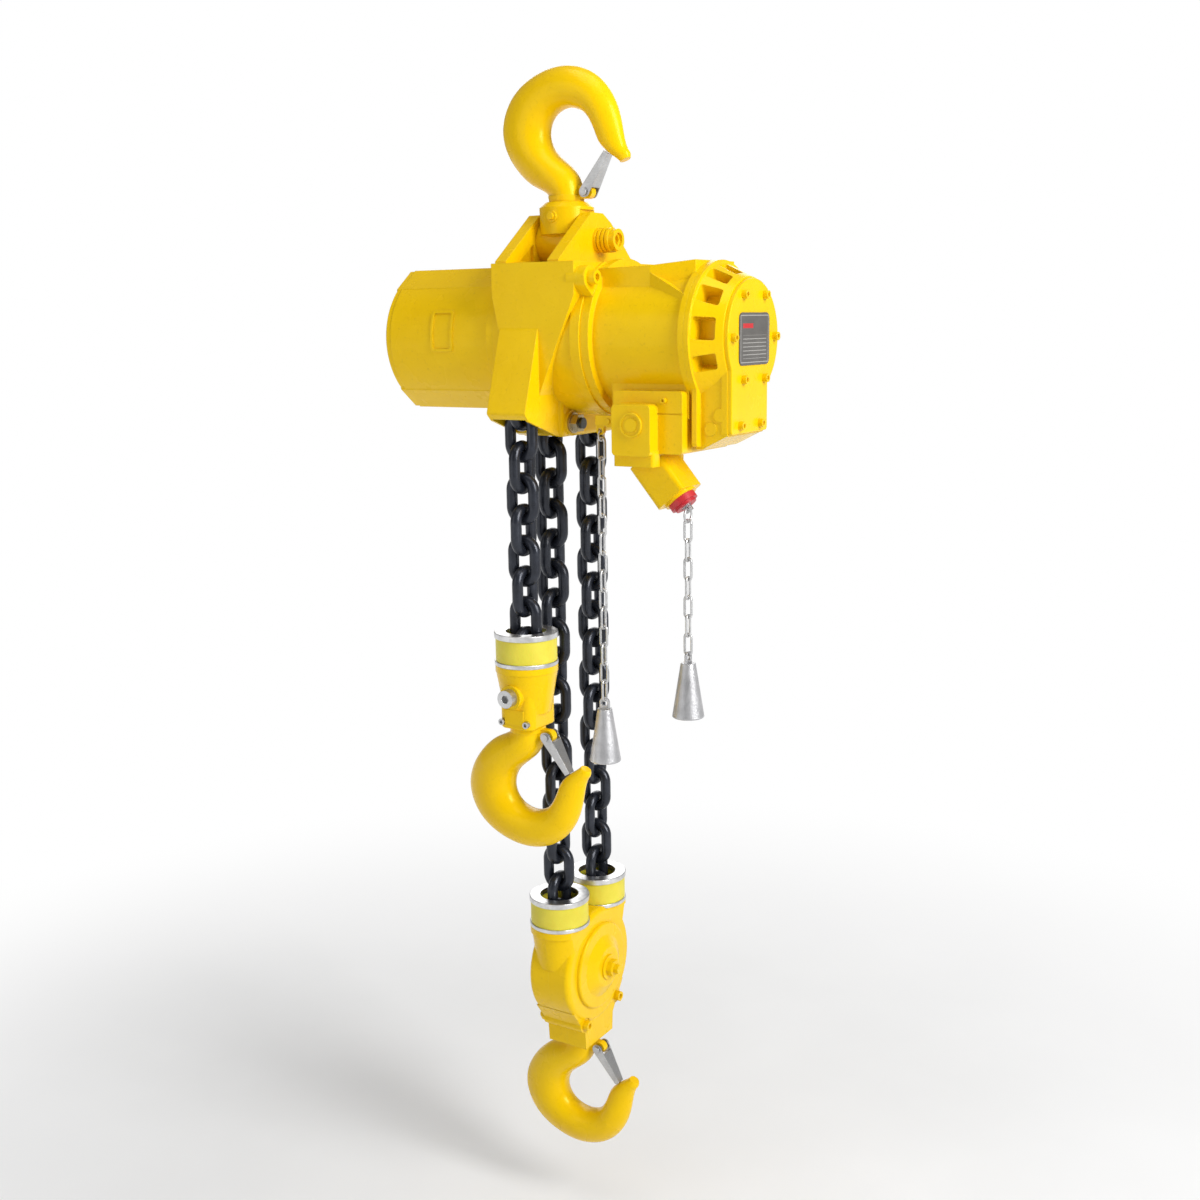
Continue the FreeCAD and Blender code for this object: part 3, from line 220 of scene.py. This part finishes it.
def off_centre(k, at):
    """distances in y and z from a point, as shader values"""
    sep = k.node("ShaderNodeSeparateXYZ", {0: k.co})
    return k.math("SUBTRACT", sep.outputs[1], at.y), k.math("SUBTRACT", sep.outputs[2], at.z)


LABEL_HALF = Vector((0.0345, 0.0255))   # outside of the border
LABEL_RULE = 0.001                      # width of the border
LABEL_TEXT = 0.029                      # half width of the ruled rows
ROWS_Z = (-0.021, 0.004)
BAR_Y, BAR_Z = (-0.029, -0.004), (0.0115, 0.0165)


def label_plate(name):
    """grey rating plate with a plain border, one red bar and empty ruled rows"""
    k = Mat(name, 0.36, 0.0, 0.2, 0.2)
    y, z = off_centre(k, centre("name_plate"))

    def inside(v, lo, hi):
        return k.math("MULTIPLY", k.math("GREATER_THAN", v, lo), k.math("LESS_THAN", v, hi))

    def patch(y_span, z_span):
        return k.math("MULTIPLY", inside(y, *y_span), inside(z, *z_span))

    def centred(half):
        return patch((-half.x, half.x), (-half.y, half.y))

    col = k.ramp(k.noise(40.0, 4.0, 0.6), [(0.3, (0.085, 0.080, 0.074)), (0.75, (0.125, 0.118, 0.108))])
    inner = LABEL_HALF - Vector((LABEL_RULE, LABEL_RULE))
    border = k.math("SUBTRACT", centred(LABEL_HALF), centred(inner))
    rows = k.math("MULTIPLY", patch((-LABEL_TEXT, LABEL_TEXT), ROWS_Z),
                  k.math("LESS_THAN", k.math("PINGPONG", z, 0.0021), 0.0004))
    col = k.mix(k.math("ADD", border, rows), col, (0.34, 0.33, 0.31))
    col = k.mix(patch(BAR_Y, BAR_Z), col, (0.50, 0.02, 0.025))
    k.set("Base Color", col)
    k.set("Roughness", k.ramp(k.noise(90.0, 3.0), [(0.3, (0.30,) * 3), (0.8, (0.44,) * 3)]))
    k.bump(k.noise(700.0, 2.0), 0.08, 0.0003, 0.001)
    return k.m


STUD_R = 0.0066


def anchor_metal(name):
    """yellow-passivated hexagon and washer round a dark stud"""
    k = Mat(name, 0.32, 1.0)
    y, z = off_centre(k, centre("chain_anchor"))
    far = k.math("SQRT", k.math("ADD", k.math("MULTIPLY", y, y), k.math("MULTIPLY", z, z)))
    patch = k.noise(60.0, 4.0, 0.65)
    gold = k.ramp(patch, [(0.3, (0.40, 0.33, 0.20)), (0.75, (0.60, 0.52, 0.34))])
    dark = k.ramp(patch, [(0.3, (0.07, 0.07, 0.07)), (0.75, (0.14, 0.14, 0.13))])
    col = k.mix(k.math("LESS_THAN", far, STUD_R), gold, dark)
    k.set("Base Color", col)
    k.set("Roughness", k.ramp(k.noise(140.0, 3.0), [(0.3, (0.24,) * 3), (0.8, (0.42,) * 3)]))
    k.bump(k.noise(500.0, 3.0), 0.2, 0.0003, 0.0008)
    return k.m


def cast_metal(name):
    """sand-cast aluminium: bright, grainy, slightly uneven"""
    k = Mat(name, 0.42, 0.9)
    col = k.ramp(k.noise(50.0, 5.0, 0.7), [(0.25, (0.42, 0.42, 0.43)), (0.8, (0.66, 0.66, 0.67))])
    k.set("Base Color", col)
    k.set("Roughness", k.ramp(k.noise(120.0, 4.0), [(0.3, (0.34,) * 3), (0.8, (0.55,) * 3)]))
    k.bump(k.noise(380.0, 4.0, 0.65), 0.7, 0.0006, 0.0012)
    return k.m


MATS = {
    "cast_paint": paint("cast_yellow_enamel", True),
    "smooth_paint": paint("smooth_yellow_enamel", False),
    "hook_paint": paint("forged_yellow_enamel", True, (0.54, 0.30, 0.001), (0.82, 0.50, 0.001),
                        (0.88, 0.57, 0.002)),
    "chain": chain_steel("black_chain_steel"),
    "zinc": steel("zinc_plate", 0.50, 0.34),
    "ring": steel("turned_zinc_plate", 0.60, 0.30, False),
    "anchor": anchor_metal("yellow_passivated_anchor"),
    "dark_steel": steel("oiled_steel", 0.16, 0.36),
    "machined": steel("machined_steel", 0.45, 0.28),
    "pull": steel("galvanised_pull_chain", 0.55, 0.36, False, 1.6),
    "cast": cast_metal("cast_aluminium"),
    "buffer": polymer("buffer_polyurethane", (0.66, 0.56, 0.030), (0.76, 0.66, 0.055), 0.48, 0.2, 0.15),
    "red": polymer("red_guide_bush", (0.42, 0.012, 0.02), (0.58, 0.03, 0.04), 0.42),
    "plate": label_plate("grey_label_plate"),
}
USE = {
    "cast_paint": ("chain_housing", "gear_cover", "motor_housing", "end_cover", "crosshead",
                   "fall_hook_block", "block_shell_left", "block_shell_right", "control_block",
                   "stop_valve_body", "ear_plate_left", "ear_plate_right", "start_lever"),
    "smooth_paint": ("end_plate", "suspension_pins", "body_screws", "block_bolts"),
    "hook_paint": ("top_hook", "fall_hook", "block_hook"),
    "chain": ("dead_chain", "live_chain", "slack_chain", "wheel_chain", "sheave_chain"),
    "zinc": ("top_latch", "fall_latch", "block_latch", "top_latch_pin", "fall_latch_pin",
             "block_latch_pin", "fall_hook_chain_pin", "stop_plunger"),
    "ring": ("fall_hook_buffer_rings", "block_buffer_rings"),
    "anchor": ("chain_anchor",),
    "dark_steel": ("top_latch_spring", "fall_latch_spring", "block_latch_spring"),
    "machined": ("ring_gear", "planet_gear_1", "planet_gear_2", "planet_gear_3", "sun_shaft",
                 "planet_carrier", "load_wheel", "idler_sheave", "rotor", "top_hook_nut",
                 "fall_hook_nut", "block_hook_nut"),
    "pull": ("start_chain", "stop_chain"),
    "cast": ("start_weight", "stop_weight"),
    "buffer": ("fall_hook_buffer", "block_buffers"),
    "red": ("stop_bush",),
    "plate": ("name_plate",),
}
for key, names in USE.items():
    for name in names:
        ob = NODES[name]
        ob.data.materials.clear()
        ob.data.materials.append(MATS[key])


def strand(node):
    """straight run of load chain, held in the housing: a copy of the CAD chain mesh in place of the hidden
    CAD node
    """
    cad = NODES[node]
    piece = bpy.data.objects.new(node + "_run", cad.data.copy())
    piece.matrix_world = cad.matrix_world.copy()
    bpy.context.collection.objects.link(piece)
    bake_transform(piece)
    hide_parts(node)


strand("slack_chain")
strand("dead_chain")
strand("live_chain")


# ---------------------------------------------------------------- stage, light and camera
FLOOR_Z = CAD_BOX[0][2] - 0.09
FLOOR_HALF = 14
PALE = 1.0                  # what the camera sees of the far floor and the surroundings
SOFT = 0.24                 # light that the surroundings give


def floor():
    """pale floor that fades into the surroundings away from the object"""
    me = bpy.data.meshes.new("floor")
    bm = bmesh.new()
    bmesh.ops.create_grid(bm, x_segments=2, y_segments=2, size=FLOOR_HALF)
    bm.to_mesh(me)
    bm.free()
    ob = bpy.data.objects.new("floor", me)
    ob.location = (0, 0, FLOOR_Z)
    bpy.context.collection.objects.link(ob)
    k = Mat("pale_floor", 0.6)
    k.set("Base Color", k.ramp(k.noise(3.0, 3.0), [(0.3, (0.86,) * 3), (0.7, (0.90,) * 3)]))
    far = k.node("ShaderNodeVectorMath", {0: k.co}, operation="LENGTH").outputs["Value"]
    fade = k.ramp(k.math("MULTIPLY", far, 0.25), [(0.09, (0, 0, 0)), (0.42, (1, 1, 1))], "EASE")
    glow = k.node("ShaderNodeEmission", {"Color": (1, 1, 1, 1), "Strength": PALE})
    mix = k.node("ShaderNodeMixShader", {0: fade, 1: k.b.outputs[0], 2: glow.outputs[0]})
    k.t.links.new(mix.outputs[0], k.out.inputs[0])
    me.materials.append(k.m)


def area(name, at, aim, size, power):
    li = bpy.data.lights.new(name, "AREA")
    li.shape = "RECTANGLE"
    li.size, li.size_y = size
    li.energy = power
    ob = bpy.data.objects.new(name, li)
    ob.location = at
    ob.rotation_euler = (Vector(aim) - Vector(at)).to_track_quat("-Z", "Y").to_euler()
    bpy.context.collection.objects.link(ob)


floor()
area("key", (2.8, -0.5, 1.1), (0, 0, -0.3), (1.2, 2.0), 104)
area("fill", (-1.4, -2.8, 0.6), (0, 0, -0.4), (1.6, 2.4), 14)
area("top", (0.2, -0.5, 2.5), (0, 0, 0), (1.8, 1.8), 22)
area("back", (-1.4, 2.6, 0.8), (0, 0, -0.2), (2.0, 2.0), 26)


def studio():
    """pale surroundings: soft light on the object, an even pale background for the camera"""
    world = bpy.data.worlds.new("studio")
    world.use_nodes = True
    t = world.node_tree
    soft = t.nodes["Background"]
    soft.inputs[0].default_value = (1, 1, 1, 1)
    soft.inputs[1].default_value = SOFT
    seen = t.nodes.new("ShaderNodeBackground")
    seen.inputs[0].default_value = (1, 1, 1, 1)
    seen.inputs[1].default_value = PALE
    path = t.nodes.new("ShaderNodeLightPath")
    mix = t.nodes.new("ShaderNodeMixShader")
    t.links.new(path.outputs["Is Camera Ray"], mix.inputs[0])
    t.links.new(soft.outputs[0], mix.inputs[1])
    t.links.new(seen.outputs[0], mix.inputs[2])
    t.links.new(mix.outputs[0], t.nodes["World Output"].inputs[0])
    bpy.context.scene.world = world


studio()
bpy.context.scene.view_settings.view_transform = "Standard"


CAMERA_AT = (0.9301, -1.4411, 0.0202)
HEADING, PITCH, ROLL = 31.76, 11.12, 0.79       # degrees: turned left, looking down, tilted
LENS = 42.732                                   # mm on a 36 mm wide sensor


def camera():
    """pinhole camera looking down a little, from the front right"""
    heading, pitch, roll = math.radians(HEADING), math.radians(PITCH), math.radians(ROLL)
    right = Vector((math.cos(heading), math.sin(heading), 0))
    level = Vector((-math.sin(heading), math.cos(heading), 0))
    ahead = level * math.cos(pitch) - Vector((0, 0, 1)) * math.sin(pitch)
    up = level * math.sin(pitch) + Vector((0, 0, 1)) * math.cos(pitch)
    r = right * math.cos(roll) - up * math.sin(roll)
    u = right * math.sin(roll) + up * math.cos(roll)
    cam = bpy.data.cameras.new("camera")
    cam.sensor_width = 36
    cam.lens = LENS
    cam.clip_end = 60
    ob = bpy.data.objects.new("camera", cam)
    bpy.context.collection.objects.link(ob)
    rot = Matrix((r, u, ahead * -1)).transposed().to_4x4()
    ob.matrix_world = Matrix.Translation(CAMERA_AT) @ rot
    bpy.context.scene.camera = ob


camera()
